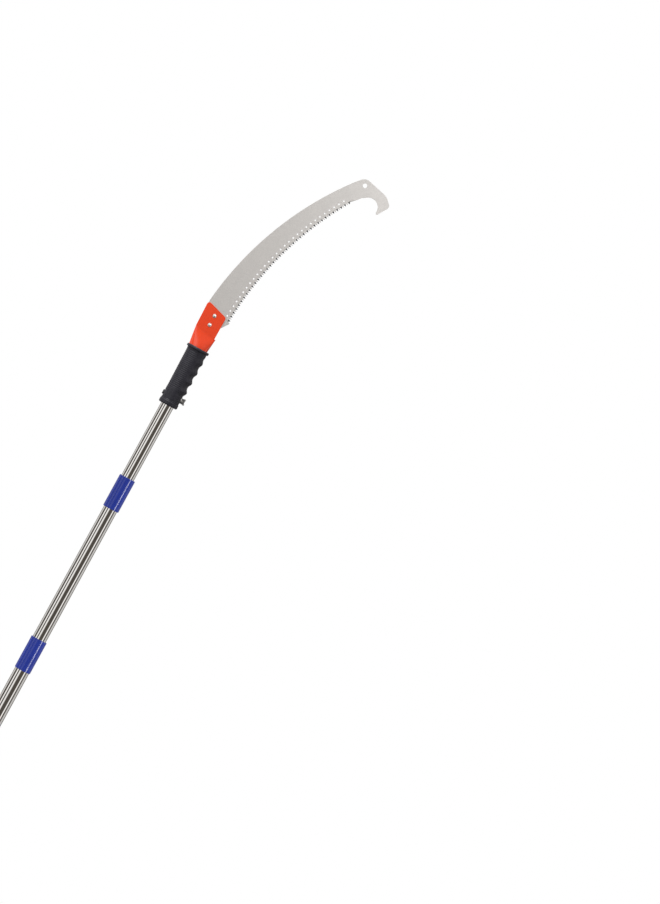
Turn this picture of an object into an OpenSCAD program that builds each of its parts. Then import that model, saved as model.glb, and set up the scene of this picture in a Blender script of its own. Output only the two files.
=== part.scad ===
// Telescoping pole saw: a curved pruning blade with a hooked tip, riveted into a flattened steel
// socket with a finger grip, on three nested tubes that slide and lock by an inner expander.
// The pole runs up +Z from the flat of its butt plug at the origin. The blade lies in the XZ
// plane with its teeth and hook towards +X.

/* [Pole tubes] */
// Length of the lower tube, which carries the butt plug
lower_tube_len = 650; // [600:10:900]
// Length of the middle tube
middle_tube_len = 600; // [480:10:610]
// Length of the upper tube, which carries the saw head
upper_tube_len = 550; // [420:10:600]
// Outside diameter of the middle tube, from which the other two are stepped
middle_tube_d = 26; // [22:0.1:32]
// Wall of each tube
tube_wall = 0.6; // [0.5:0.1:1]
// Radial gap between a tube and the tube that slides in it
tube_gap = 0.2; // [0.15:0.05:0.4]
// Length of the middle tube that shows between the two sleeves
middle_shown = 260; // [150:5:300]
// Length of the upper tube that shows between its sleeve and the grip
upper_shown = 145; // [60:5:200]

/* [Lock sleeves] */
// Length of each sleeve
sleeve_len = 62; // [50:1:90]
// Depth to which a tube end is seated in its sleeve
sleeve_seat = 36; // [20:1:45]
// Wall of the sleeve round the lower tube, which sets the diameter of both sleeves
sleeve_wall = 1.2; // [1:0.1:3]
// Radius on the outer edges of a sleeve
sleeve_edge_r = 0.8; // [0.4:0.1:0.9]

/* [Butt plug] */
// Height of the plug's flange below the lower tube
butt_flange_h = 6; // [4:0.5:10]
// Width of the flange past the tube
butt_flange_out = 1.6; // [1:0.1:4]
// Length of the plug inside the tube
butt_insert = 25; // [15:1:30]
// Wall of the hollow insert
butt_wall = 2.5; // [1.5:0.1:4]

/* [Inner locks] */
// Length of the plug inside the tube end
lock_plug_len = 26; // [20:1:35]
// Thickness of the plug's shoulder
lock_shoulder_h = 4; // [3:0.5:6]
// Diameter of the threaded stud
stud_d = 8; // [6:0.5:9]
// Axial travel of the cone nut between locked and free
cone_travel = 2; // [1:0.5:4]
// Height of the cone nut
cone_h = 20; // [14:1:24]
// Loss of radius of the cone nut over its height
cone_drop = 4; // [2:0.5:4.5]
// Length of the split expander
expander_len = 40; // [32:1:50]
// Wall of the expander at its wide end
expander_wall = 2.2; // [1.6:0.1:3]
// Diameter of the spring pin that holds the plug in the tube
pin_d = 3; // [2:0.5:4]
// Diameter of the retaining screw's shank
lock_screw_d = 4; // [3:0.5:4]

/* [Grip] */
// Length of the grip
grip_len = 114; // [95:1:140]
// Wall of the grip round the socket tube at its lower end
grip_wall = 3.1; // [2.8:0.1:5]
// Growth of the grip's radius from its lower end to its flange
grip_taper = 1.9; // [1.5:0.1:2.5]
// Height of the flange at the top of the grip
grip_flange_h = 5; // [3:0.5:8]
// Width of the flange past the grip
grip_flange_out = 2.5; // [2:0.5:6]
// Height of the rounded lip at the bottom of the grip
grip_lip_h = 9; // [6:0.5:11]
// Width of the lip past the grip
grip_lip_out = 1.1; // [0.5:0.1:2]
// Number of finger ridges
ridge_count = 4; // [3:1:4]
// Height of the first ridge above the grip's lower end
ridge_first = 33.5; // [32:0.5:40]
// Depth of the last ridge below the grip's upper end
ridge_top_in = 22.6; // [16:0.1:26]
// Reach of a ridge past the round of the grip
ridge_reach = 3.4; // [1:0.1:5]

/* [Blade socket] */
// Sheet thickness of the socket
socket_wall = 1.2; // [1:0.1:1.6]
// Distance from the pole axis to the socket's back edge
cheek_back = 24.5; // [22:0.1:28]
// Distance from the pole axis to the socket's front edge
cheek_front = 17; // [14:0.1:18]
// Height of the back top corner above the grip
cheek_top_back = 81.5; // [76:0.5:90]
// Height of the front top corner above the grip
cheek_top_front = 69; // [66:0.5:80]
// Reach of the seam's step in front, from the pole axis
seam_front = 19; // [17:0.1:21]
// Height of the crease above the grip at the back edge
crease_back = 33.2; // [28:0.1:35]
// Height of the crease above the grip at the seam's step
crease_front = 25.5; // [22:0.1:28]

/* [Rivets] */
// Diameter of a rivet's shank
rivet_d = 4; // [3:0.5:5]
// Diameter of a rivet's head
rivet_head_d = 7; // [6:0.5:9]
// Height of a rivet's head
rivet_head_h = 1.5; // [1:0.1:2]
// Distance of the rivets behind the pole axis
rivet_back = 2.6; // [0:0.1:8]
// Height of the lower rivet above the grip
rivet_low = 44.7; // [42:0.1:48]
// Distance between the rivets
rivet_pitch = 17.9; // [12:0.1:18]

/* [Blade] */
// Thickness of the blade
blade_t = 1.2; // [0.9:0.1:2]
// Radius of the arc on which the tooth tips lie
tooth_arc_r = 587.7; // [500:1:700]
// Distance between tooth tips
tooth_pitch = 4; // [3:0.1:5]
// Number of teeth
tooth_count = 76; // [60:1:84]
// Depth of a tooth
tooth_depth = 3.4; // [2.5:0.1:4]
// Width of the blade at the heel
heel_width = 51.4; // [48:0.1:54]
// Width of the blade at the last tooth
tip_width = 32; // [28:0.1:36]
// Extra width of the blade half way along, where its back bows out
back_bow = 1.5; // [0:0.1:3]
// Diameter of the holes in the row along the teeth
row_hole_d = 3; // [2:0.1:4]
// Distance between holes in the row
row_hole_pitch = 9.95; // [8:0.05:12]
// Number of holes in the row
row_hole_count = 30; // [10:1:30]
// Distance of the row from the tooth tips
row_hole_in = 10; // [7:0.5:14]
// Diameter of the hanging hole near the tip
hang_hole_d = 8; // [5:0.5:10]
// Radius of the hook's throat
throat_r = 16.4; // [13:0.1:17]

/* [Cross bolt] */
// Diameter of the bolt
bolt_d = 5; // [4:0.5:6]
// Height of the bolt above the grip's lower end
bolt_up = 18; // [16:0.5:20]
// Diameter of the bolt's head
bolt_head_d = 8.6; // [8:0.1:12]
// Height of the bolt's head
bolt_head_h = 3; // [2:0.1:4]
// Diameter of the washer
washer_d = 12; // [10:0.5:13]
// Thickness of the washer
washer_t = 1; // [0.8:0.1:1.5]
// Height of the wing nut's boss
nut_h = 6; // [5:0.5:8]
// Diameter of the wing nut's boss
nut_d = 10; // [8:0.5:11]
// Span across the wings
wing_span = 25; // [20:0.5:32]
// Turn of the wings from upright at rest
wing_turn = 65; // [0:5:355]

/* [Hidden] */
$fn = 64;
hull_fn = 32;      // facets of the round end of a hull
cut = 1;           // how far a cut runs past the face it opens
fit_gap = 0.05;    // radial gap where one piece is fixed in another
run_gap = 0.1;     // radial gap where one piece turns or slides on another
slide_gap = 0.15;  // radial gap between an expander and the tube that it grips
guide_gap = 0.25;  // radial gap between a sleeve's mouth and the tube through it

// Tube radii: each step is one wall and one gap
step = tube_wall + tube_gap;
middle_r = middle_tube_d / 2;
upper_r = middle_r - step;
lower_r = middle_r + step;
sleeve_r = lower_r + sleeve_wall;

// The flare starts this far below the grip's top, and the upper tube stops short of it
flare_down = 18;
insert_stop = 6;

// Heights of the tubes, stacked from the butt plug up
lower_top = butt_flange_h + lower_tube_len;
lower_sleeve_z = lower_top - sleeve_seat;
upper_sleeve_z = lower_sleeve_z + sleeve_len + middle_shown;
middle_top = upper_sleeve_z + sleeve_seat;
middle_end = middle_top - middle_tube_len;
grip_z = upper_sleeve_z + sleeve_len + upper_shown;
head_insert = grip_len - flare_down - insert_stop;
upper_end = grip_z + head_insert - upper_tube_len;
head_z = grip_z + grip_len;

// Inner lock, measured down from the end of its tube
cone_top = lock_shoulder_h + 2 * cone_travel;
expander_top = cone_top + cone_h * 0.3;
expander_floor = 10;
expander_end = expander_top + expander_len;
screw_gap = 0.3;
stud_end = expander_end + screw_gap;
screw_head_h = 2.4;
screw_head_r = stud_d / 2 + 2;
screw_depth = 12;
lock_slot_w = 3;
relief_slot_w = 1.6;
key_side_gap = 0.3;

// Head: the socket tube takes the upper tube, and flares above it to the crease
socket_ir = upper_r + tube_gap;
socket_r = socket_ir + socket_wall;
socket_foot = 3;
flare_mid_x = -1.2;
flare_mid_rx = 17.7;
flare_mid_ry = 7;
back_lean = 1.2;
step_in = 0.2;
crease_lap = 0.5;
slice = 0.1;
sheet_gap = fit_gap + blade_t / 2;
cheek_out = sheet_gap + socket_wall;
grip_r = socket_r + grip_wall;
seat_x = grip_r - 0.6;
ridge_pitch = (grip_len - ridge_first - ridge_top_in) / (ridge_count - 1);
bolt_z = grip_z + bolt_up;
bolt_hole_r = bolt_d / 2 + 0.2;
nut_x = seat_x + washer_t + run_gap / 2;
bolt_end = nut_x + nut_h + 0.8;

// Blade: the tooth arc's centre and the angles along it, in the head's own frame
heel = [26.3, 61.4];
heel_angle = 178.17;
arc_c = heel - tooth_arc_r * [cos(heel_angle), sin(heel_angle)];
tooth_step = tooth_pitch / tooth_arc_r * 180 / PI;
end_angle = heel_angle - tooth_count * tooth_step;
row_step = row_hole_pitch / (tooth_arc_r + row_hole_in) * 180 / PI;
row_start = heel_angle - 1.15;

// The back edge of the socket's cheeks at height h above the grip
function back_edge(h) =
    -cheek_back + back_lean * (cheek_top_back - h) / (cheek_top_back - crease_back);

// A point on the blade: width w behind the tooth tips at angle a
function blade_pt(a, w) = arc_c + (tooth_arc_r + w) * [cos(a), sin(a)];

// Width of the blade a share t of the way from heel to last tooth
function blade_width(t) = heel_width + (tip_width - heel_width) * t + 4 * back_bow * t * (1 - t);

// A point of the hook: u runs on past the last tooth, v runs from the teeth towards the back
function hook_pt(p) = blade_pt(end_angle, p[1]) + p[0] * [sin(end_angle), -cos(end_angle)];

// Points of an arc round c
function arc(c, r, a0, a1, n) = [for (i = [0 : n]) c + r * [cos(a0 + (a1 - a0) * i / n),
                                                            sin(a0 + (a1 - a0) * i / n)]];

// The corner b between a and c, rounded to radius b[2] in n steps
function unit(v) = v / norm(v);
function xy(p) = [p[0], p[1]];
function corner(a, b, c, n) =
    let (to_a = unit(xy(a) - xy(b)), to_c = unit(xy(c) - xy(b)),
         half = acos(to_a * to_c) / 2, mid = unit(to_a + to_c),
         centre = xy(b) + mid * b[2] / sin(half),
         from = xy(b) + to_a * b[2] / tan(half) - centre,
         to = xy(b) + to_c * b[2] / tan(half) - centre,
         a0 = atan2(from[1], from[0]), a1 = atan2(to[1], to[0]),
         turn = a1 - a0 > 180 ? a1 - a0 - 360 : a1 - a0 < -180 ? a1 - a0 + 360 : a1 - a0)
    b[2] == 0 ? [xy(b)] : arc(centre, b[2], a0, a0 + turn, n);

// A closed outline of corners [x, y, radius]
function rounded(p, n = 6) =
    [for (i = [0 : len(p) - 1]) each corner(p[(i + len(p) - 1) % len(p)], p[i],
                                            p[(i + 1) % len(p)], n)];

// The same for an open run of corners, whose two ends are left out
function rounded_run(p, n = 6) =
    [for (i = [1 : len(p) - 2]) each corner(p[i - 1], p[i], p[i + 1], n)];

// Turns an outline drawn in X and height into a plate lying in the XZ plane
module plate(thickness) {
    rotate([90, 0, 0]) linear_extrude(thickness, center = true) children();
}

module along_x(x, z) {
    translate([x, 0, z]) rotate([0, 90, 0]) children();
}

module along_y(x, z) {
    translate([x, 0, z]) rotate([90, 0, 0]) children();
}

// ---- Blade ----

// Outline of the blade, from the tang up the back, round the hook and down the teeth
spine_low = cheek_top_back + 1.3;
spine_from_angle = 180 - asin((spine_low - arc_c[1]) / (tooth_arc_r + heel_width));
spine_from = (heel_angle - spine_from_angle) / (heel_angle - end_angle);
spine_to = 1.08;
spine_steps = 40;
function spine_at(t) = blade_pt(heel_angle + (end_angle - heel_angle) * t, blade_width(t));
spine = [for (i = [0 : spine_steps])
             spine_at(spine_from + (spine_to - spine_from) * i / spine_steps)];
hook_corners = [[45.5, 26, 15], [60.4, -20.5, 22], [56, -39.8, 7], [28.4, -39.6, 0.8]];
throat_c = [23.6, -20.1];
tang_low = crease_back + 4.5;
tang_in = socket_wall + run_gap;
tang = [[8, tang_low - 1.8, 3], [back_edge(tang_low) + tang_in, tang_low, 3],
        [back_edge(cheek_top_back) + tang_in, cheek_top_back, 0]];

function hook_run() =
    let (last = spine[spine_steps],
         nose = [for (c = hook_corners) concat(hook_pt(c), c[2])],
         throat = arc(throat_c, throat_r, -67, 62, 16))
    concat(rounded_run(concat([last], nose, [hook_pt(throat[0])])),
           [for (p = throat) hook_pt(p)],
           [hook_pt([21, -0.7]), hook_pt([15.5, -0.3])]);

function teeth_run() =
    [for (i = [tooth_count : -1 : 1])
        each [blade_pt(heel_angle - i * tooth_step, tooth_depth),
              blade_pt(heel_angle - (i - 0.45) * tooth_step, 0)]];

module saw_blade() {
    color("gainsboro") translate([0, 0, head_z]) difference() {
        plate(blade_t) polygon(concat(spine, hook_run(), teeth_run(), [heel],
                                      rounded_run(concat([heel], tang, [spine[0]]))));
        for (i = [0 : row_hole_count - 1]) {
            p = blade_pt(row_start - i * row_step, row_hole_in);
            along_y(p[0], p[1]) cylinder(h = blade_t + 2 * cut, d = row_hole_d, center = true);
        }
        hang = hook_pt([37.1, 15]);
        along_y(hang[0], hang[1]) cylinder(h = blade_t + 2 * cut, d = hang_hole_d, center = true);
        rivet_holes(blade_t);
    }
}

// ---- Blade socket ----

module rivet_holes(thickness) {
    for (i = [0, 1])
        along_y(-rivet_back, rivet_low + i * rivet_pitch)
            cylinder(h = thickness + 2 * cut, d = rivet_d + 2 * fit_gap, center = true);
}

// Slices of the flare, grown by g: the round tube, the oval at the grip's top, the flat crease
module flare_foot(g, d) {
    translate([0, 0, -flare_down - d]) cylinder(r = socket_r + g, h = slice, $fn = hull_fn);
}

module flare_oval(g) {
    translate([flare_mid_x, 0, -slice / 2]) linear_extrude(slice)
        scale([flare_mid_rx + g, flare_mid_ry + g]) circle(1, $fn = hull_fn);
}

module flare_crease(g, d) {
    back = g - back_edge(crease_back);
    front = seam_front + g;
    lean = atan2(crease_front - crease_back, front + back);
    translate([-back, 0, crease_back + d]) rotate([0, -lean, 0])
        translate([0, -cheek_out - g, -slice])
            cube([(front + back) / cos(lean), 2 * (cheek_out + g), slice]);
}

// The flare from round tube to flat crease, grown by g; d runs its ends on past the sheet
module flare(g, d) {
    hull() {
        flare_foot(g, d);
        flare_oval(g);
    }
    hull() {
        flare_oval(g);
        flare_crease(g, d);
    }
}

cheek_corners = [[back_edge(crease_back), crease_back - crease_lap, 0],
                 [-cheek_back, cheek_top_back, 4.5], [cheek_front, cheek_top_front, 5],
                 [cheek_front - step_in, crease_front - crease_lap, 0]];

// The room for the blade between the cheeks, open at the front and the top
blade_room = [[back_edge(crease_back) + socket_wall, crease_back - 4],
              [back_edge(cheek_top_back) + socket_wall, cheek_top_back],
              [back_edge(cheek_top_back) + socket_wall, cheek_top_back + cut],
              [seam_front + cut, cheek_top_back + cut], [seam_front + cut, crease_front - 4]];

module cheeks() {
    difference() {
        plate(2 * cheek_out) polygon(rounded(cheek_corners));
        plate(2 * sheet_gap) polygon(blade_room);
    }
}

module blade_socket() {
    color("orangered") translate([0, 0, head_z]) difference() {
        union() {
            difference() {
                translate([0, 0, socket_foot - grip_len])
                    cylinder(r = socket_r, h = grip_len - socket_foot - flare_down);
                translate([0, 0, socket_foot - grip_len - cut])
                    cylinder(r = socket_ir, h = grip_len - socket_foot - flare_down + 2 * cut);
            }
            difference() {
                flare(0, 0);
                flare(-socket_wall, 0.12);
            }
            cheeks();
        }
        rivet_holes(2 * cheek_out);
        along_x(0, bolt_up - grip_len)
            cylinder(r = bolt_hole_r, h = 2 * socket_r + 2 * cut, center = true);
    }
}

module rivets() {
    dome_r = (pow(rivet_head_d / 2, 2) + pow(rivet_head_h, 2)) / (2 * rivet_head_h);
    dome_half = asin(rivet_head_d / 2 / dome_r);
    color("lightgray") translate([0, 0, head_z]) for (i = [0, 1])
        along_y(-rivet_back, rivet_low + i * rivet_pitch) {
            cylinder(d = rivet_d, h = 2 * cheek_out, center = true);
            for (side = [0, 1]) mirror([0, 0, side]) translate([0, 0, cheek_out])
                rotate_extrude() polygon(concat([[0, 0]],
                    arc([0, rivet_head_h - dome_r], dome_r, 90 - dome_half, 90, 8)));
        }
}

// ---- Grip and cross bolt ----

module grip_ridge() {
    crown_r = 9;
    crown_half = 51;
    crown = grip_r - crown_r;
    rotate_extrude() polygon(concat([[0, -crown_r * sin(crown_half)]],
        arc([crown, 0], crown_r, -crown_half, crown_half, 12), [[0, crown_r * sin(crown_half)]]));
}

module hand_grip() {
    lip = [grip_r + grip_lip_out, grip_lip_h];
    top_r = grip_r + grip_taper;
    flange_z = grip_len - grip_flange_h;
    profile = [[0, 0, 0], [lip[0], 0, 2.5], [lip[0], lip[1], 2], [grip_r, lip[1] + 1.5, 0],
               [top_r, flange_z, 0], [top_r + grip_flange_out, flange_z, 1.5],
               [top_r + grip_flange_out, grip_len, 2], [0, grip_len, 0]];
    color("#2c2c30") translate([0, 0, grip_z]) difference() {
        union() {
            rotate_extrude() polygon(rounded(profile));
            for (i = [0 : ridge_count - 1])
                translate([ridge_reach, 0, ridge_first + i * ridge_pitch]) grip_ridge();
        }
        translate([0, 0, -cut]) cylinder(r = socket_r + fit_gap, h = grip_len + 2 * cut);
        translate([0, 0, grip_len]) flare(fit_gap, 0);
        along_x(0, bolt_up) cylinder(r = bolt_hole_r, h = 3 * grip_r, center = true);
        for (side = [0, 180]) rotate([0, 0, side]) along_x(seat_x, bolt_up)
            cylinder(d = washer_d + 1, h = grip_r);
    }
}

module cross_bolt() {
    recess_d = bolt_head_d / 2;
    color("#3a3a3e") along_x(-seat_x, bolt_z) difference() {
        union() {
            cylinder(d = bolt_d, h = seat_x + bolt_end);
            translate([0, 0, -bolt_head_h]) rotate_extrude()
                polygon(rounded([[0, 0, 0], [bolt_head_d / 2, 0, 1], [bolt_head_d / 2, bolt_head_h, 0],
                                 [0, bolt_head_h, 0]]));
        }
        translate([0, 0, -bolt_head_h - cut]) cylinder(d = recess_d, h = bolt_head_h / 2 + cut, $fn = 6);
    }
}

module bolt_washer() {
    color("silver") along_x(seat_x + run_gap / 4, bolt_z) difference() {
        cylinder(d = washer_d, h = washer_t);
        translate([0, 0, -cut]) cylinder(d = bolt_d + 0.3, h = washer_t + 2 * cut);
    }
}

module wing_nut() {
    wing_t = 1.8;
    wing_low = 1;
    wing_top = nut_h + 2.2;
    reach = wing_span / 2;
    root = nut_d / 2 - 1.5;
    wing = [[root, wing_low, 0], [reach - 4, wing_low + 1, 2], [reach, wing_top - 2, 1.2],
            [reach - 2, wing_top, 1.2], [reach - 6, wing_top - 1.5, 3], [root, nut_h - 1, 0]];
    left_wing = [for (i = [len(wing) - 1 : -1 : 0]) [-wing[i][0], wing[i][1], wing[i][2]]];
    color("silver") along_x(nut_x, bolt_z) rotate([0, 0, wing_turn]) difference() {
        union() {
            cylinder(d = nut_d, h = nut_h - 2);
            cylinder(d = nut_d - 1.6, h = nut_h);
            plate(wing_t) polygon(rounded(concat(wing, left_wing)));
        }
        translate([0, 0, -cut]) cylinder(d = bolt_d + 2 * run_gap, h = wing_top + 2 * cut);
    }
}

// ---- Tubes, sleeves and butt plug ----

module tube(r, z, length) {
    translate([0, 0, z]) difference() {
        cylinder(r = r, h = length);
        translate([0, 0, -cut]) cylinder(r = r - tube_wall, h = length + 2 * cut);
    }
}

module pin_hole(r, end) {
    along_y(0, end + lock_plug_len / 2) cylinder(d = pin_d + 2 * fit_gap, h = 2 * r + 2 * cut, center = true);
}

module upper_tube() {
    color("gainsboro") difference() {
        tube(upper_r, upper_end, upper_tube_len);
        pin_hole(upper_r, upper_end);
        along_x(0, bolt_z) cylinder(r = bolt_hole_r, h = 2 * upper_r + 2 * cut, center = true);
    }
}

module middle_tube() {
    color("gainsboro") difference() {
        tube(middle_r, middle_end, middle_tube_len);
        pin_hole(middle_r, middle_end);
    }
}

module lower_tube() {
    color("gainsboro") tube(lower_r, butt_flange_h, lower_tube_len);
}

// A sleeve seated on a tube of radius outer, with a mouth for one of radius inner
module sleeve(z, outer, inner) {
    color("#2b3fa8") translate([0, 0, z]) difference() {
        rotate_extrude() polygon(rounded([[0, 0, 0], [sleeve_r, 0, sleeve_edge_r],
                                          [sleeve_r, sleeve_len, sleeve_edge_r], [0, sleeve_len, 0]]));
        translate([0, 0, -cut]) cylinder(r = outer + fit_gap, h = sleeve_seat + cut);
        cylinder(r = inner + guide_gap, h = sleeve_len + cut);
    }
}

module upper_sleeve() { sleeve(upper_sleeve_z, middle_r, upper_r); }
module lower_sleeve() { sleeve(lower_sleeve_z, lower_r, middle_r); }

module butt_plug() {
    insert_r = lower_r - tube_wall - fit_gap;
    flange_r = lower_r + butt_flange_out;
    color("#2b2b2e") difference() {
        rotate_extrude() polygon(rounded([[0, 0, 0], [flange_r, 0, 1.5], [flange_r, butt_flange_h, 1],
                                          [insert_r, butt_flange_h, 0],
                                          [insert_r, butt_flange_h + butt_insert, 1.5],
                                          [0, butt_flange_h + butt_insert, 0]]));
        translate([0, 0, butt_flange_h - 1]) cylinder(r = insert_r - butt_wall, h = butt_insert + 2 * cut);
    }
}

// ---- Inner locks: each hangs from the end of its tube, radius r, in a bore of radius bore ----

module lock_plug(end, r) {
    insert_r = r - tube_wall - fit_gap;
    color("#26262a") translate([0, 0, end]) difference() {
        union() {
            cylinder(r = insert_r, h = lock_plug_len);
            translate([0, 0, -lock_shoulder_h]) cylinder(r = r, h = lock_shoulder_h);
            translate([0, 0, -stud_end]) cylinder(d = stud_d, h = stud_end);
        }
        pin_hole(r, 0);
        translate([0, 0, -stud_end - cut])
            cylinder(d = lock_screw_d + 2 * fit_gap, h = screw_depth + 2 * cut);
    }
}

module lock_pin(end, r) {
    pin_len = 2 * (r - 0.4);
    color("darkgray") along_y(0, end + lock_plug_len / 2) difference() {
        cylinder(d = pin_d, h = pin_len, center = true);
        cylinder(d = pin_d / 2, h = pin_len + 2 * cut, center = true);
    }
}

function cone_r(bore) = bore - slide_gap - expander_wall;

module lock_cone(end, bore) {
    key_top = expander_top + 1;
    color("goldenrod") translate([0, 0, end]) difference() {
        union() {
            translate([0, 0, -cone_top - cone_h])
                cylinder(r1 = cone_r(bore) - cone_drop, r2 = cone_r(bore), h = cone_h);
            translate([0, -lock_slot_w / 2 + key_side_gap, -cone_top - cone_h])
                cube([bore - slide_gap - 0.8, lock_slot_w - 2 * key_side_gap, cone_h + cone_top - key_top]);
        }
        translate([0, 0, -cone_top - cone_h - cut])
            cylinder(d = stud_d + 2 * run_gap, h = cone_h + 2 * cut);
    }
}

module lock_expander(end, bore) {
    narrow = cone_r(bore) - cone_drop;
    out = bore - slide_gap;
    color("whitesmoke") translate([0, 0, end]) difference() {
        translate([0, 0, -expander_end]) cylinder(r = out, h = expander_len);
        translate([0, 0, -cone_top - cone_h])
            cylinder(r1 = narrow + run_gap, r2 = cone_r(bore) + run_gap, h = cone_h);
        translate([0, 0, -expander_end + expander_floor])
            cylinder(r = narrow + run_gap, h = expander_end - expander_floor - expander_top);
        translate([0, 0, -expander_end - cut])
            cylinder(d = stud_d + 2 * run_gap, h = expander_floor + 2 * cut);
        translate([0, -lock_slot_w / 2, -expander_end - cut])
            cube([out + cut, lock_slot_w, expander_len + 2 * cut]);
        for (a = [120, 240]) rotate([0, 0, a])
            translate([0, -relief_slot_w / 2, -expander_end + expander_floor])
                cube([out + cut, relief_slot_w, expander_len]);
    }
}

module lock_screw(end) {
    color("silver") translate([0, 0, end - stud_end]) difference() {
        union() {
            translate([0, 0, -screw_head_h]) cylinder(r = screw_head_r, h = screw_head_h);
            cylinder(d = lock_screw_d, h = screw_depth);
        }
        translate([0, 0, -screw_head_h - cut])
            cylinder(d = lock_screw_d, h = screw_head_h / 2 + cut, $fn = 6);
    }
}

module upper_lock_plug() { lock_plug(upper_end, upper_r); }
module upper_lock_pin() { lock_pin(upper_end, upper_r); }
module upper_lock_cone() { lock_cone(upper_end, middle_r - tube_wall); }
module upper_lock_expander() { lock_expander(upper_end, middle_r - tube_wall); }
module upper_lock_screw() { lock_screw(upper_end); }
module middle_lock_plug() { lock_plug(middle_end, middle_r); }
module middle_lock_pin() { lock_pin(middle_end, middle_r); }
module middle_lock_cone() { lock_cone(middle_end, lower_r - tube_wall); }
module middle_lock_expander() { lock_expander(middle_end, lower_r - tube_wall); }
module middle_lock_screw() { lock_screw(middle_end); }

saw_blade();
rivets();
blade_socket();
hand_grip();
cross_bolt();
bolt_washer();
wing_nut();
upper_tube();
upper_lock_plug();
upper_lock_pin();
upper_lock_cone();
upper_lock_expander();
upper_lock_screw();
upper_sleeve();
middle_tube();
middle_lock_plug();
middle_lock_pin();
middle_lock_cone();
middle_lock_expander();
middle_lock_screw();
lower_sleeve();
lower_tube();
butt_plug();
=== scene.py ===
from math import atan2, copysign, cos, hypot, pi, radians, sin, sqrt

import bmesh
import bpy
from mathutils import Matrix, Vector


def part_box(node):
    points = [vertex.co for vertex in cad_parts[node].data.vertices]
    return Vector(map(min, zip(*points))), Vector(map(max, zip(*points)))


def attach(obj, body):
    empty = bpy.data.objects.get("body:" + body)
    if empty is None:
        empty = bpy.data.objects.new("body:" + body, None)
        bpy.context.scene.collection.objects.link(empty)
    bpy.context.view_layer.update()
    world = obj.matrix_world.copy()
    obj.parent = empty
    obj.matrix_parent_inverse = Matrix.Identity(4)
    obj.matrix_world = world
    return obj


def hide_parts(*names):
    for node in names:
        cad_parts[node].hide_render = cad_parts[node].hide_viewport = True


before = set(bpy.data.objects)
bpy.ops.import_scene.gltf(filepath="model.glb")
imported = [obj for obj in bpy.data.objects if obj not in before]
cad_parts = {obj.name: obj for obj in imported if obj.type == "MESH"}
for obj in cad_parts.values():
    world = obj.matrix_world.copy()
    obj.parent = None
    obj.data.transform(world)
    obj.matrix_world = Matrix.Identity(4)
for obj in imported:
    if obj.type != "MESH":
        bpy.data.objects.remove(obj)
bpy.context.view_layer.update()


# ---- Camera ----
# The saw is seen square on to its blade, from the side where the teeth face right. The camera
# is rolled so that the pole leans, and its lens takes in the head and the top half of the pole.
camera_data = bpy.data.cameras.new("camera")
camera_data.sensor_width = 36
camera_data.lens = 182
camera_data.clip_end = 50
camera = bpy.data.objects.new("camera", camera_data)
camera.location = (0.289, -8, 1.2138)
camera.rotation_euler = (radians(90), radians(-28.7), 0)
bpy.context.collection.objects.link(camera)
bpy.context.scene.camera = camera
bpy.context.scene.view_settings.view_transform = "Standard"


# ---- Studio ----
# A white room with tall soft boxes and brown flags, each given by its turn round the pole in
# degrees from the camera's side, with the teeth's side positive. They stripe the polished tubes.
# Wider pale panels light the matt pieces, and the small floor isn't mirrored in the tubes.
soft_boxes = [(-180, 0.78), (-163, 0.85), (-156, 0.14), (-139, 0.14), (-131, 0.65),
              (-106, 0.7), (-99, 0.35), (-94, 0.05), (-77, 0.05), (-70, 0.3), (-63, 1.15),
              (-53, 1.1), (-48, 0.07), (-34, 0.07), (-27, 1.0), (-14, 1.0), (-5, 0.14),
              (2, 0.085), (38, 0.085), (46, 0.2), (51, 1.15), (61, 1.1), (67, 0.1), (83, 0.1),
              (96, 0.6), (112, 0.68), (124, 0.6), (130, 0.12), (148, 0.12), (155, 0.85),
              (180, 0.78)]
fill_panels = [(-180, 0.9), (-120, 2.3), (-75, 2.5), (-25, 1.0), (20, 0.6), (60, 0.7), (110, 1.15),
               (180, 0.9)]
world = bpy.data.worlds.new("studio")
world.use_nodes = True
bpy.context.scene.world = world
nodes, links = world.node_tree.nodes, world.node_tree.links
nodes.clear()
direction = nodes.new("ShaderNodeTexCoord")
split = nodes.new("ShaderNodeSeparateXYZ")
links.new(direction.outputs["Generated"], split.inputs[0])
away = nodes.new("ShaderNodeMath")
away.operation = "MULTIPLY"
away.inputs[1].default_value = -1
links.new(split.outputs["Y"], away.inputs[0])
turn = nodes.new("ShaderNodeMath")
turn.operation = "ARCTAN2"
links.new(split.outputs["X"], turn.inputs[0])
links.new(away.outputs[0], turn.inputs[1])
share = nodes.new("ShaderNodeMapRange")
share.inputs["From Min"].default_value = -pi
share.inputs["From Max"].default_value = pi
links.new(turn.outputs[0], share.inputs["Value"])
ramps = []
for panels in (soft_boxes, fill_panels):
    ramp = nodes.new("ShaderNodeValToRGB")
    while len(ramp.color_ramp.elements) < len(panels):
        ramp.color_ramp.elements.new(0.5)
    for stop, (panel_turn, level) in zip(ramp.color_ramp.elements, panels):
        warmth = 0.12 * max(0, 1 - level / 0.5) + 0.015
        stop.position = (panel_turn + 180) / 360
        stop.color = (level, level * (1 - warmth), level * (1 - 2 * warmth), 1)
    links.new(share.outputs["Result"], ramp.inputs[0])
    ramps.append(ramp)
overhead = nodes.new("ShaderNodeMath")
overhead.operation = "MULTIPLY_ADD"
overhead.inputs[1].default_value = 0.9
overhead.inputs[2].default_value = 1
links.new(split.outputs["Z"], overhead.inputs[0])
rays = nodes.new("ShaderNodeLightPath")
room = nodes.new("ShaderNodeMix")
room.data_type = "RGBA"
links.new(rays.outputs["Is Glossy Ray"], room.inputs["Factor"])
links.new(ramps[1].outputs["Color"], room.inputs["A"])
links.new(ramps[0].outputs["Color"], room.inputs["B"])
lit_room = nodes.new("ShaderNodeVectorMath")
lit_room.operation = "SCALE"
links.new(room.outputs["Result"], lit_room.inputs[0])
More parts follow.
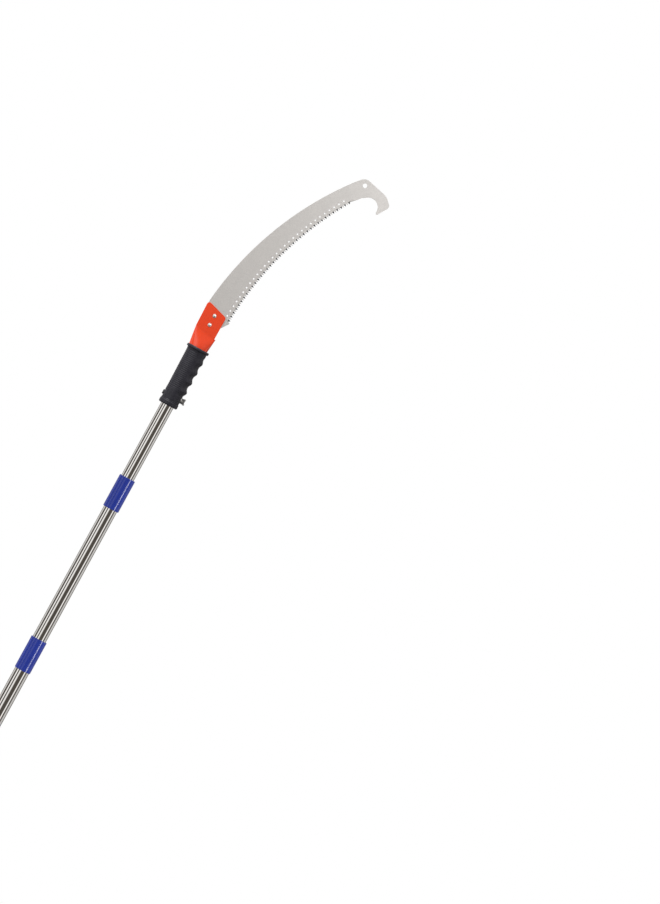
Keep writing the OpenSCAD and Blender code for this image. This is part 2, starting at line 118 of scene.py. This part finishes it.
links.new(overhead.outputs[0], lit_room.inputs["Scale"])
backdrop = nodes.new("ShaderNodeMix")
backdrop.data_type = "RGBA"
backdrop.inputs["B"].default_value = (1, 1, 1, 1)
links.new(rays.outputs["Is Camera Ray"], backdrop.inputs["Factor"])
links.new(lit_room.outputs["Vector"], backdrop.inputs["A"])
glow = nodes.new("ShaderNodeBackground")
links.new(backdrop.outputs["Result"], glow.inputs["Color"])
links.new(glow.outputs[0], nodes.new("ShaderNodeOutputWorld").inputs["Surface"])


def area_lamp(name, place, aim, energy, size, tall=None):
    """A round lamp of one size, or an upright strip when it is given its height as well."""
    data = bpy.data.lights.new(name, "AREA")
    data.shape = "RECTANGLE" if tall else "DISK"
    data.size = size
    if tall:
        data.size_y = tall
    data.energy = energy
    lamp = bpy.data.objects.new(name, data)
    lamp.location = place
    lamp.rotation_euler = (Vector(aim) - lamp.location).to_track_quat("-Z", "Y").to_euler()
    bpy.context.collection.objects.link(lamp)
    return lamp


def shine_only_on(lamp, group, pieces):
    """Lets a lamp light some pieces and leave the others alone."""
    lamp.light_linking.receiver_collection = bpy.data.collections.new(group)
    for piece in pieces:
        lamp.light_linking.receiver_collection.objects.link(piece)


area_lamp("head_lamp", (0.45, -0.9, 1.95), (0.12, 0, 1.6), 3.4, 0.5)

bpy.ops.object.select_all(action="DESELECT")
bpy.ops.mesh.primitive_circle_add(vertices=96, radius=0.9, fill_type="NGON",
                                  location=(0, 0, -0.001))
floor = bpy.context.object
floor.name = "floor"
bpy.ops.object.transform_apply(location=True)
floor_paint = bpy.data.materials.new("floor_paint")
floor_paint.use_nodes = True
nodes, links = floor_paint.node_tree.nodes, floor_paint.node_tree.links
nodes["Principled BSDF"].inputs["Base Color"].default_value = (0.9, 0.9, 0.89, 1)
nodes["Principled BSDF"].inputs["Roughness"].default_value = 0.85
rays = nodes.new("ShaderNodeLightPath")
unseen = nodes.new("ShaderNodeBsdfTransparent")
floor_or_room = nodes.new("ShaderNodeMixShader")
links.new(rays.outputs["Is Glossy Ray"], floor_or_room.inputs["Fac"])
links.new(nodes["Principled BSDF"].outputs[0], floor_or_room.inputs[1])
links.new(unseen.outputs[0], floor_or_room.inputs[2])
links.new(floor_or_room.outputs[0], nodes["Material Output"].inputs["Surface"])
floor.data.materials.append(floor_paint)


# ---- Tubes ----
# Three thin-walled steel tubes that slide in each other. They are drawn and polished bright, so
# their grain runs along the pole, with faint rub marks over it.
def surface_group():
    """Group: two tones and two roughnesses mixed by grain and soft blotches, and fine relief."""
    group = bpy.data.node_groups.new("surface_variation", "ShaderNodeTree")
    face = group.interface
    for label, kind, value in (("Light Tone", "NodeSocketColor", (0.8, 0.8, 0.8, 1)),
                               ("Dark Tone", "NodeSocketColor", (0.6, 0.6, 0.6, 1)),
                               ("Stretch", "NodeSocketVector", (1, 1, 1)),
                               ("Grain Scale", "NodeSocketFloat", 800.0),
                               ("Blotch Scale", "NodeSocketFloat", 25.0),
                               ("Blotch Amount", "NodeSocketFloat", 0.4),
                               ("Smooth Roughness", "NodeSocketFloat", 0.2),
                               ("Dull Roughness", "NodeSocketFloat", 0.4),
                               ("Relief", "NodeSocketFloat", 0.1)):
        face.new_socket(label, in_out="INPUT", socket_type=kind).default_value = value
    for label, kind in (("Colour", "NodeSocketColor"), ("Roughness", "NodeSocketFloat"),
                        ("Normal", "NodeSocketVector")):
        face.new_socket(label, in_out="OUTPUT", socket_type=kind)
    nodes, links = group.nodes, group.links
    given = nodes.new("NodeGroupInput")
    made = nodes.new("NodeGroupOutput")
    place = nodes.new("ShaderNodeTexCoord")
    stretched = nodes.new("ShaderNodeVectorMath")
    stretched.operation = "MULTIPLY"
    links.new(place.outputs["Object"], stretched.inputs[0])
    links.new(given.outputs["Stretch"], stretched.inputs[1])
    grain = nodes.new("ShaderNodeTexNoise")
    grain.inputs["Detail"].default_value = 3
    links.new(stretched.outputs[0], grain.inputs["Vector"])
    links.new(given.outputs["Grain Scale"], grain.inputs["Scale"])
    blotch = nodes.new("ShaderNodeTexNoise")
    blotch.inputs["Detail"].default_value = 4
    blotch.inputs["Roughness"].default_value = 0.6
    links.new(place.outputs["Object"], blotch.inputs["Vector"])
    links.new(given.outputs["Blotch Scale"], blotch.inputs["Scale"])
    both = nodes.new("ShaderNodeMix")
    links.new(given.outputs["Blotch Amount"], both.inputs["Factor"])
    links.new(grain.outputs["Fac"], both.inputs["A"])
    links.new(blotch.outputs["Fac"], both.inputs["B"])
    spread = nodes.new("ShaderNodeMapRange")
    spread.inputs["From Min"].default_value = 0.3
    spread.inputs["From Max"].default_value = 0.7
    links.new(both.outputs["Result"], spread.inputs["Value"])
    tone = nodes.new("ShaderNodeMix")
    tone.data_type = "RGBA"
    links.new(spread.outputs["Result"], tone.inputs["Factor"])
    links.new(given.outputs["Dark Tone"], tone.inputs["A"])
    links.new(given.outputs["Light Tone"], tone.inputs["B"])
    links.new(tone.outputs["Result"], made.inputs["Colour"])
    rough = nodes.new("ShaderNodeMix")
    links.new(spread.outputs["Result"], rough.inputs["Factor"])
    links.new(given.outputs["Dull Roughness"], rough.inputs["A"])
    links.new(given.outputs["Smooth Roughness"], rough.inputs["B"])
    links.new(rough.outputs["Result"], made.inputs["Roughness"])
    relief = nodes.new("ShaderNodeBump")
    relief.inputs["Distance"].default_value = 0.0002
    links.new(given.outputs["Relief"], relief.inputs["Strength"])
    links.new(grain.outputs["Fac"], relief.inputs["Height"])
    links.new(relief.outputs["Normal"], made.inputs["Normal"])
    return group


surface_variation = surface_group()


def finish(name, light, dark, roughness, dull, metallic=0.0, stretch=(1, 1, 1), grain=800.0,
           blotch=25.0, blotch_amount=0.4, relief=0.1):
    """A material whose tone, roughness and relief come from the surface group."""
    material = bpy.data.materials.new(name)
    material.use_nodes = True
    nodes, links = material.node_tree.nodes, material.node_tree.links
    shader = nodes["Principled BSDF"]
    shader.inputs["Metallic"].default_value = metallic
    group = nodes.new("ShaderNodeGroup")
    group.node_tree = surface_variation
    group.inputs["Light Tone"].default_value = (*light, 1)
    group.inputs["Dark Tone"].default_value = (*dark, 1)
    group.inputs["Stretch"].default_value = stretch
    group.inputs["Grain Scale"].default_value = grain
    group.inputs["Blotch Scale"].default_value = blotch
    group.inputs["Blotch Amount"].default_value = blotch_amount
    group.inputs["Smooth Roughness"].default_value = roughness
    group.inputs["Dull Roughness"].default_value = dull
    group.inputs["Relief"].default_value = relief
    links.new(group.outputs["Colour"], shader.inputs["Base Color"])
    links.new(group.outputs["Roughness"], shader.inputs["Roughness"])
    links.new(group.outputs["Normal"], shader.inputs["Normal"])
    return material


def dress(material, *names):
    """Gives CAD nodes a finish in place of the plain one that they came with."""
    for name in names:
        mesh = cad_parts[name].data
        mesh.materials.clear()
        mesh.materials.append(material)


tube_steel = finish("tube_steel", (0.93, 0.92, 0.9), (0.86, 0.85, 0.83), 0.05, 0.1, metallic=1,
                    stretch=(1, 1, 0.02), grain=1500, blotch=30, blotch_amount=0.5, relief=0.03)
dress(tube_steel, "upper_tube", "middle_tube", "lower_tube")


# ---- Lock sleeves ----
# Two blue sleeves at the tube ends, each pushed on one tube and guiding the next. They are
# moulded in glossy plastic, with faint flow marks and rub marks from the hands that turn them.
sleeve_blue = finish("sleeve_blue", (0.0115, 0.024, 0.185), (0.008, 0.018, 0.155), 0.17, 0.23,
                     grain=500, blotch=60, blotch_amount=0.6, relief=0.012)
dress(sleeve_blue, "upper_sleeve", "lower_sleeve")

sleeve_strip = area_lamp("sleeve_strip", (1.24, -0.87, 0.8), (0, 0, 0.8), 21, 0.15, 2.4)
shine_only_on(sleeve_strip, "sleeves",
              [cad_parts["upper_sleeve"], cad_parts["lower_sleeve"]])


# ---- Inner locks ----
# In each joint a plug is pinned in the tube end and carries a threaded stud. A cone nut on it
# spreads a split sleeve against the outer tube. The plug, cone and sleeve are moulded in nylon
# and the pin and screw are plated steel.
lock_black = finish("lock_black", (0.05, 0.05, 0.055), (0.03, 0.03, 0.033), 0.4, 0.55, grain=900)
cone_nylon = finish("cone_nylon", (0.75, 0.74, 0.7), (0.6, 0.59, 0.54), 0.35, 0.5, grain=700)
expander_nylon = finish("expander_nylon", (0.6, 0.61, 0.62), (0.42, 0.43, 0.45), 0.4, 0.55,
                        grain=700)
zinc = finish("zinc", (0.78, 0.79, 0.8), (0.6, 0.61, 0.63), 0.25, 0.42, metallic=1, grain=1400,
              blotch=150, relief=0.08)
dress(lock_black, "upper_lock_plug", "middle_lock_plug")
dress(cone_nylon, "upper_lock_cone", "middle_lock_cone")
dress(expander_nylon, "upper_lock_expander", "middle_lock_expander")
dress(zinc, "upper_lock_pin", "upper_lock_screw", "middle_lock_pin", "middle_lock_screw")


# ---- Butt plug ----
# A black rubber foot pushed into the bottom of the lower tube. It is moulded with two grooves
# round its flange and three rings of tread below.
def deselect():
    """Leaves edit mode and lets go of every object."""
    if bpy.context.object and bpy.context.object.mode != "OBJECT":
        bpy.ops.object.mode_set(mode="OBJECT")
    bpy.ops.object.select_all(action="DESELECT")


def lathe(name, outline, steps, foot, axis="Z"):
    """Spins a closed outline of (radius, distance along the axis) points into a solid shape."""
    deselect()
    mesh = bpy.data.meshes.new(name)
    obj = bpy.data.objects.new(name, mesh)
    bpy.context.collection.objects.link(obj)
    foot = Vector(foot)
    if axis == "Z":
        points = [foot + Vector((radius, 0, along)) for radius, along in outline]
        turn_about = (0, 0, 1)
    else:
        points = [foot + Vector((along, 0, radius)) for radius, along in outline]
        turn_about = (1, 0, 0)
    count = len(points)
    mesh.from_pydata(points, [(i, (i + 1) % count) for i in range(count)], [])
    bpy.context.view_layer.objects.active = obj
    obj.select_set(True)
    bpy.ops.object.mode_set(mode="EDIT")
    bpy.ops.mesh.select_all(action="SELECT")
    bpy.ops.mesh.spin(steps=steps, angle=2 * pi, center=foot, axis=turn_about, use_auto_merge=True)
    bpy.ops.mesh.select_all(action="SELECT")
    bpy.ops.mesh.remove_doubles(threshold=1e-6)
    bpy.ops.mesh.delete_loose()
    bpy.ops.mesh.select_all(action="SELECT")
    bpy.ops.mesh.normals_make_consistent(inside=False)
    bpy.ops.object.mode_set(mode="OBJECT")
    return obj


def smooth(obj, angle):
    """Shades an object smooth, apart from edges sharper than an angle in degrees."""
    deselect()
    bpy.context.view_layer.objects.active = obj
    obj.select_set(True)
    bpy.ops.object.shade_smooth_by_angle(angle=radians(angle))


butt_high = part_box("butt_plug")[1]
butt_round = butt_high[0]
butt_insert_round, butt_bore = 0.01315, 0.01065
butt_flange_top, butt_floor, butt_top = 0.006, 0.005, butt_high[2]
tread = [(0, 0)]
for ring in (0.003, 0.0065, 0.010):
    tread += [(ring, 0), (ring + 0.0003, 0.0006), (ring + 0.0013, 0.0006), (ring + 0.0016, 0)]
flange = [(butt_round - 0.0012, 0), (butt_round - 0.0003, 0.0004), (butt_round, 0.0012)]
for groove in (0.0018, 0.0035):
    flange += [(butt_round, groove), (butt_round - 0.0005, groove + 0.0003),
               (butt_round - 0.0005, groove + 0.0006), (butt_round, groove + 0.0009)]
flange += [(butt_round, butt_flange_top - 0.0008), (butt_round - 0.0003, butt_flange_top - 0.0002),
           (butt_round - 0.001, butt_flange_top), (butt_insert_round, butt_flange_top)]
insert = [(butt_insert_round, butt_top - 0.0015), (butt_insert_round - 0.0004, butt_top - 0.0004),
          (butt_insert_round - 0.0015, butt_top), (butt_bore, butt_top), (butt_bore, butt_floor),
          (0, butt_floor)]
butt = lathe("butt_foot", tread + flange + insert, 72, (0, 0, 0))
smooth(butt, 30)
butt_rubber = finish("butt_rubber", (0.035, 0.035, 0.037), (0.02, 0.02, 0.022), 0.6, 0.8, grain=900,
                     relief=0.3)
butt.data.materials.append(butt_rubber)
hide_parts("butt_plug")
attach(butt, "lower_section")


# ---- Hand grip ----
# A black rubber grip moulded over the socket tube, with a flange above, a rounded lip below and
# four finger ridges on the tooth side. Fine ribs run round its back for hold.
low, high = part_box("hand_grip")
grip_foot, grip_top = low[2], high[2]
grip_len = grip_top - grip_foot
grip_bore = 0.01365
grip_round = 0.0167
grip_taper = 0.0019
lip_height, lip_out = 0.009, 0.0011
flange_height, flange_out = 0.005, 0.0025
rib_pitch, rib_depth = 0.0033, 0.0008
rib_low, rib_high = 0.03, grip_len - flange_height - 0.002
rib_side, rib_fade = 0.45, 0.5
ridge_first, ridge_pitch, ridge_reach, valley_deep = 0.0335, 0.0193, 0.0034, 0.0007


def carve(obj, cutter):
    """Cuts one shape out of another and throws the cutter away."""
    deselect()
    bpy.context.view_layer.objects.active = obj
    cut = obj.modifiers.new("cut", "BOOLEAN")
    cut.operation = "DIFFERENCE"
    cut.solver = "EXACT"
    cut.object = cutter
    bpy.ops.object.modifier_apply(modifier=cut.name)
    bpy.data.objects.remove(cutter)


def bend(mid_r, mid_h, radius, start, end, count):
    """Points of a rounded edge in an outline, from one angle in degrees to another."""
    turns = [radians(start + (end - start) * step / count) for step in range(count + 1)]
    return [(mid_r + radius * cos(turn), mid_h + radius * sin(turn)) for turn in turns]


def grip_outline():
    """The grip's outline from its bore round the lip, up the side and round the flange."""
    lip = grip_round + lip_out
    flange_foot = grip_len - flange_height
    top = grip_round + grip_taper
    edge = top + flange_out
    rows = [(grip_bore, 0)] + bend(lip - 0.0024, 0.0024, 0.0024, -90, 0, 8)
    rows += bend(lip - 0.002, lip_height - 0.0022, 0.002, 0, 60, 5)
    rows += bend(grip_round + 0.0014, lip_height + 0.0015, 0.0014, 225, 180, 3)
    height = 0.0114
    while height < flange_foot - 0.0016:
        rows.append((grip_round + grip_taper * height / flange_foot, height))
        height += rib_pitch / 4
    rows += bend(top + 0.001, flange_foot - 0.001, 0.001, 180, 90, 4)
    rows += bend(edge - 0.0013, flange_foot + 0.0013, 0.0013, -90, 0, 5)
    return rows + bend(edge - 0.0019, grip_len - 0.0019, 0.0019, 0, 90, 7) + [(grip_bore, grip_len)]


grip = lathe("grip", grip_outline(), 144, (0, 0, grip_foot))
ridges_low, ridges_high, ridge_ease = -0.62, 3.62, 0.3
for vert in grip.data.vertices:
    x, y, z = vert.co
    height = z - grip_foot
    radius = hypot(x, y)
    on_side = lip_height + 0.0015 < height < grip_len - flange_height - 0.001
    if radius < grip_bore + 0.001 or not on_side:
        continue
    front = x / radius
    shaped = radius
    if rib_low < height < rib_high and front < rib_side:
        wave = 0.5 + 0.5 * cos(2 * pi * (height - rib_low) / rib_pitch)
        fade = min(1, (rib_side - front) / rib_fade) * min(1, (height - rib_low) / 0.004)
        shaped -= rib_depth * fade * (1 - wave ** 0.7)
    place = (height - ridge_first) / ridge_pitch
    if ridges_low < place < ridges_high and front > 0:
        bump = (0.5 + 0.5 * cos(2 * pi * place)) ** 1.35
        reach = ridge_reach * front + sqrt(grip_round ** 2 - (ridge_reach * y / radius) ** 2)
        edge = min(1, (place - ridges_low) / ridge_ease, (ridges_high - place) / ridge_ease)
        valley = valley_deep * (1 - bump) * edge * front
        shaped += max(0, reach - radius) * bump - valley
    vert.co.x, vert.co.y = x / radius * shaped, y / radius * shaped

bolt_low, bolt_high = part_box("cross_bolt")
bolt_z = bolt_low[2] / 2 + bolt_high[2] / 2
seat_x, seat_round, seat_cut = 0.0161, 0.0065, 0.02
bolt_hole_round, bolt_hole_cut = 0.0027, 0.06


def drill(obj, radius, depth, middle_x=0.0, sides=32):
    """Cuts a hole on the line of the cross bolt."""
    deselect()
    bpy.ops.mesh.primitive_cylinder_add(vertices=sides, radius=radius, depth=depth,
                                        location=(middle_x, 0, bolt_z), rotation=(0, pi / 2, 0))
    carve(obj, bpy.context.object)


for side in (-1, 1):
    drill(grip, seat_round, seat_cut, side * (seat_x + seat_cut / 2), 48)
drill(grip, bolt_hole_round, bolt_hole_cut)
smooth(grip, 40)
grip_rubber = finish("grip_rubber", (0.018, 0.0175, 0.024), (0.0095, 0.0092, 0.0135), 0.36, 0.5,
                     grain=1100, blotch=70, blotch_amount=0.5, relief=0.12)
grip.data.materials.append(grip_rubber)
grip_rubber.node_tree.nodes["Principled BSDF"].inputs["Specular IOR Level"].default_value = 0.3
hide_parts("hand_grip")
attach(grip, "upper_section")


# ---- Blade socket ----
# A sheet steel socket in orange enamel. Its tube runs down inside the grip, and above the grip it
# is pressed flat, in a flare that ends in a crease. The two cheeks above hold the blade.
socket_wall, socket_round, socket_deep, round_to = 0.0012, 0.0136, 0.111, 0.018
oval_x, oval_half_x, oval_half_y, oval_power = -0.0012, 0.0177, 0.0072, 2.1
cheek_half = 0.00185
crease_back, crease_front = Vector((-0.0233, 0, 0.0332)), Vector((0.019, 0, 0.0255))
crease_power, crease_gap, lap_tall, lap_proud = 8.0, 0.0001, 0.0005, 0.00003
fold_round, fold_side, shortest_fold = 0.0013, -0.022, 0.02
crease_mid = (crease_back + crease_front) / 2
crease_lean = atan2(crease_front.z - crease_back.z, crease_front.x - crease_back.x)
crease_half = (crease_front - crease_back).length / 2
oval_steps, flare_steps, ring_count = 6, 14, 72


def ease_in_out(share):
    """A share that starts and ends softly."""
    return share * share * (3 - 2 * share)


def flare_ring(share):
    """Height, middle, lean, half widths and squareness at a share of the way up the flare."""
    ease = ease_in_out(share) * 0.35 + share * 0.65
    mid = Vector((oval_x, 0, 0)).lerp(crease_mid, share)
    return (mid.z, mid.x, crease_lean * share, oval_half_x + (crease_half - oval_half_x) * share,
            oval_half_y + (cheek_half - oval_half_y) * ease,
            oval_power + (crease_power - oval_power) * share ** 3)


rings = [(-depth, 0, 0, socket_round, socket_round, 2) for depth in (socket_deep, round_to)]
for step in range(1, oval_steps):
    share = step / oval_steps
    ease = ease_in_out(share)
    rings.append((-round_to + round_to * share, oval_x * ease, 0,
                  socket_round + (oval_half_x - socket_round) * ease,
                  socket_round + (oval_half_y - socket_round) * ease, 2 + (oval_power - 2) * ease))
rings += [flare_ring(step / flare_steps) for step in range(flare_steps + 1)]
lean_up = Vector((-sin(crease_lean), 0, cos(crease_lean)))
# the flare's rim laps over the lower ends of the cheeks, so that no gap shows at the crease
lap_mid = crease_mid + lean_up * lap_tall
rings.append((lap_mid.z, lap_mid.x, crease_lean, crease_half, cheek_half + lap_proud, crease_power))
socket_mesh = bmesh.new()
previous = None
for height, mid_x, lean, half_x, half_y, power in rings:
    loop = []
    for step in range(ring_count):
        angle = 2 * pi * step / ring_count
        x = copysign(half_x * abs(cos(angle)) ** (2 / power), cos(angle))
        y = copysign(half_y * abs(sin(angle)) ** (2 / power), sin(angle))
        spot = (mid_x + x * cos(lean), y, grip_top + height + x * sin(lean))
        loop.append(socket_mesh.verts.new(spot))
    if previous:
        for i in range(ring_count):
            j = (i + 1) % ring_count
            socket_mesh.faces.new((previous[i], previous[j], loop[j], loop[i]))
    previous = loop
mesh = bpy.data.meshes.new("socket")
socket_mesh.to_mesh(mesh)
socket_mesh.free()
socket = bpy.data.objects.new("socket", mesh)
bpy.context.collection.objects.link(socket)
deselect()
bpy.context.view_layer.objects.active = socket
wall = socket.modifiers.new("wall", "SOLIDIFY")
wall.thickness = socket_wall
wall.offset = -1
bpy.ops.object.modifier_apply(modifier=wall.name)
drill(socket, bolt_hole_round, bolt_hole_cut)
smooth(socket, 35)


def merged_copy(node, name):
    """A CAD node's own shape as one joined mesh, ready to be worked on."""
    deselect()
    obj = bpy.data.objects.new(name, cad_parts[node].data.copy())
    obj.data.materials.clear()
    bpy.context.collection.objects.link(obj)
    bpy.context.view_layer.objects.active = obj
    obj.select_set(True)
    bpy.ops.object.mode_set(mode="EDIT")
    bpy.ops.mesh.select_all(action="SELECT")
    bpy.ops.mesh.remove_doubles(threshold=1e-6)
    bpy.ops.mesh.customdata_custom_splitnormals_clear()
    bpy.ops.mesh.dissolve_limited(angle_limit=radians(0.2))
    bpy.ops.object.mode_set(mode="OBJECT")
    return obj


def bevel_sharp(obj, width, segments, angle=30):
    """Breaks the sharp edges of an object with a small bevel."""
    deselect()
    bpy.context.view_layer.objects.active = obj
    edge = obj.modifiers.new("edge", "BEVEL")
    edge.width = width
    edge.segments = segments
    edge.limit_method = "ANGLE"
    edge.angle_limit = radians(angle)
    edge.use_clamp_overlap = True
    bpy.ops.object.modifier_apply(modifier=edge.name)


cheeks = merged_copy("blade_socket", "cheeks")
bpy.ops.object.mode_set(mode="EDIT")
bpy.ops.mesh.select_all(action="SELECT")
bpy.ops.mesh.bisect(plane_co=Vector((0, 0, grip_top)) + crease_mid + lean_up * crease_gap,
                    plane_no=lean_up, use_fill=True, clear_inner=True, threshold=1e-6)
bpy.ops.object.mode_set(mode="OBJECT")
fold = bmesh.new()
fold.from_mesh(cheeks.data)
back_edges = [edge for edge in fold.edges if edge.calc_length() > shortest_fold
              and all(vert.co.x < fold_side and abs(vert.co.y) > cheek_half - 1e-5
                      for vert in edge.verts)]
bmesh.ops.bevel(fold, geom=back_edges, offset=fold_round, offset_type="OFFSET", segments=4,
                profile=0.5, affect="EDGES", clamp_overlap=True)
fold.to_mesh(cheeks.data)
fold.free()
bevel_sharp(cheeks, 0.00025, 1, 60)
deselect()
bpy.context.view_layer.objects.active = socket
socket.select_set(True)
cheeks.select_set(True)
bpy.ops.object.join()
orange_enamel = finish("orange_enamel", (0.48, 0.0345, 0.007), (0.44, 0.029, 0.0055), 0.19, 0.27,
                       grain=450, blotch=35, blotch_amount=0.6, relief=0.06)
enamel_shader = orange_enamel.node_tree.nodes["Principled BSDF"]
enamel_shader.inputs["Specular IOR Level"].default_value = 0.4
enamel_shader.inputs["Coat Weight"].default_value = 0.8
enamel_shader.inputs["Coat Roughness"].default_value = 0.12
socket.data.materials.append(orange_enamel)
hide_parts("blade_socket")
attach(socket, "upper_section")

raking_lamp = area_lamp("raking_lamp", (-0.42, -0.5, 2.15), (0, 0, grip_top), 12, 0.35)
shine_only_on(raking_lamp, "handle", [grip, socket])


# ---- Rivets ----
# Two steel rivets with domed heads through both cheeks and the blade, plated bright.
rivet_steel = finish("rivet_steel", (0.97, 0.96, 0.94), (0.85, 0.83, 0.8), 0.24, 0.36,
                     metallic=0.85, grain=1400, blotch=200, relief=0.05)
dress(rivet_steel, "rivets")


# ---- Blade ----
# A curved pruning blade in spring steel, punched out with its hook and holes, then ground. Every
# second tooth is ground from the other side, and all other edges are broken with a small chamfer.
blade = merged_copy("saw_blade", "blade")
tooth_curve_middle = Vector((0.6137, 0, grip_top + 0.0426))
longest_flank, widest_tip, tooth_reach = 0.006, radians(75), 0.005
tip_grind, gullet_grind, chamfer = 0.0042, 0.0014, 0.00012


def rim_edges(work, side):
    """Edges between the flat of the blade on one side and its outline or a hole."""
    return [edge for edge in work.edges
            if all(vert.co.y * side > 0 for vert in edge.verts)
            and any(abs(face.normal.y) > 0.9 for face in edge.link_faces)
            and any(abs(face.normal.y) < 0.1 for face in edge.link_faces)]


def tooth_tips(work, side):
    """Tooth tips on one side of the blade from the heel up, each with its two gullets."""
    at_vert = {}
    for edge in rim_edges(work, side):
        for vert in edge.verts:
            at_vert.setdefault(vert, []).append(edge)
    tips = []
    for vert, flanks in at_vert.items():
        if len(flanks) == 2 and all(edge.calc_length() < longest_flank for edge in flanks):
            gullets = [edge.other_vert(vert) for edge in flanks]
            sharp = (gullets[0].co - vert.co).angle(gullets[1].co - vert.co) < widest_tip
            reach = (vert.co - tooth_curve_middle).length
            if sharp and all((gullet.co - tooth_curve_middle).length > reach for gullet in gullets):
                tips.append((vert, gullets))
    tips.sort(key=lambda tip: tip[0].co.z)
    return tips


work = bmesh.new()
work.from_mesh(blade.data)
tip_spots = [tip.co.copy() for tip, _ in tooth_tips(work, 1)]


def near_teeth(place):
    """Whether a place on the blade is close to a tooth's tip."""
    return min(hypot(place.x - spot.x, place.z - spot.z) for spot in tip_spots) < tooth_reach


for side, first in ((-1, 0), (1, 1)):
    for tip, gullets in tooth_tips(work, side)[first::2]:
        inward = ((gullets[0].co + gullets[1].co) / 2 - tip.co).normalized()
        tip.co += inward * tip_grind
        for gullet in gullets:
            gullet.co += inward * gullet_grind
work.normal_update()
for side in (1, -1):
    plain = [edge for edge in rim_edges(work, side)
             if not near_teeth((edge.verts[0].co + edge.verts[1].co) / 2)]
    bmesh.ops.bevel(work, geom=plain, offset=chamfer, offset_type="OFFSET", segments=1, profile=0.5,
                    affect="EDGES", clamp_overlap=True)
work.normal_update()
# The tilted faces near the tooth tips take the second, near-black material. This is painted shade
# standing in for the dark that these ground facets show; it is not a darker steel.
for face in work.faces:
    shaded_tooth_facet = near_teeth(face.calc_center_median()) and abs(face.normal.y) < 0.95
    face.material_index = 1 if shaded_tooth_facet else 0
work.to_mesh(blade.data)
work.free()
smooth(blade, 25)
blade_steel = finish("blade_steel", (0.66, 0.64, 0.62), (0.54, 0.525, 0.51), 0.38, 0.5,
                     metallic=0.55, grain=900, blotch=45, blotch_amount=0.3, relief=0.12)
# Near-black metal for the faces at the teeth: painted shade for the dark of the ground facets.
tooth_facet_shade = finish("tooth_facet_shade", (0.1, 0.095, 0.09), (0.03, 0.027, 0.027), 0.25, 0.38,
                     metallic=1, grain=1500, relief=0.05)
blade.data.materials.append(blade_steel)
blade.data.materials.append(tooth_facet_shade)
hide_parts("saw_blade")
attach(blade, "upper_section")


# ---- Cross bolt, washer and wing nut ----
# A blackened socket-head bolt through the grip, the socket and the upper tube, with a plated
# washer and a pressed wing nut on its threaded end.
bolt_start, bolt_end = bolt_low[0], bolt_high[0]
head_round, head_tall, shank_round = 0.0043, 0.003, 0.0025
thread_start, thread_deep, thread_pitch = 0.0128, 0.00035, 0.0008
key_round, key_deep = 0.00215, 0.0015
outline = [(0, bolt_start), (head_round - 0.0009, bolt_start),
           (head_round - 0.0003, bolt_start + 0.0003), (head_round, bolt_start + 0.0009),
           (head_round, bolt_start + head_tall), (shank_round, bolt_start + head_tall)]
along = thread_start
while along < bolt_end - 0.0012:
    outline += [(shank_round, along), (shank_round - thread_deep, along + thread_pitch / 2)]
    along += thread_pitch
outline += [(shank_round, along), (shank_round - 0.0005, bolt_end), (0, bolt_end)]
bolt = lathe("bolt", outline, 40, (0, 0, bolt_z), axis="X")
drill(bolt, key_round, key_deep * 2, bolt_start, 6)
smooth(bolt, 28)
bolt_black = finish("bolt_black", (0.11, 0.11, 0.115), (0.06, 0.06, 0.065), 0.3, 0.45, metallic=0.8,
                    grain=1200, relief=0.1)
bolt.data.materials.append(bolt_black)
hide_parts("cross_bolt")
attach(bolt, "cross_bolt")
nut_zinc = finish("nut_zinc", (0.72, 0.72, 0.71), (0.45, 0.45, 0.45), 0.24, 0.4, metallic=1,
                  grain=1400, blotch=150, relief=0.08)
for node, body in (("wing_nut", "wing_nut"), ("bolt_washer", "bolt_washer")):
    piece = merged_copy(node, node + "_plated")
    bevel_sharp(piece, 0.0002, 2)
    smooth(piece, 20)
    piece.data.materials.append(nut_zinc)
    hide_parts(node)
    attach(piece, body)
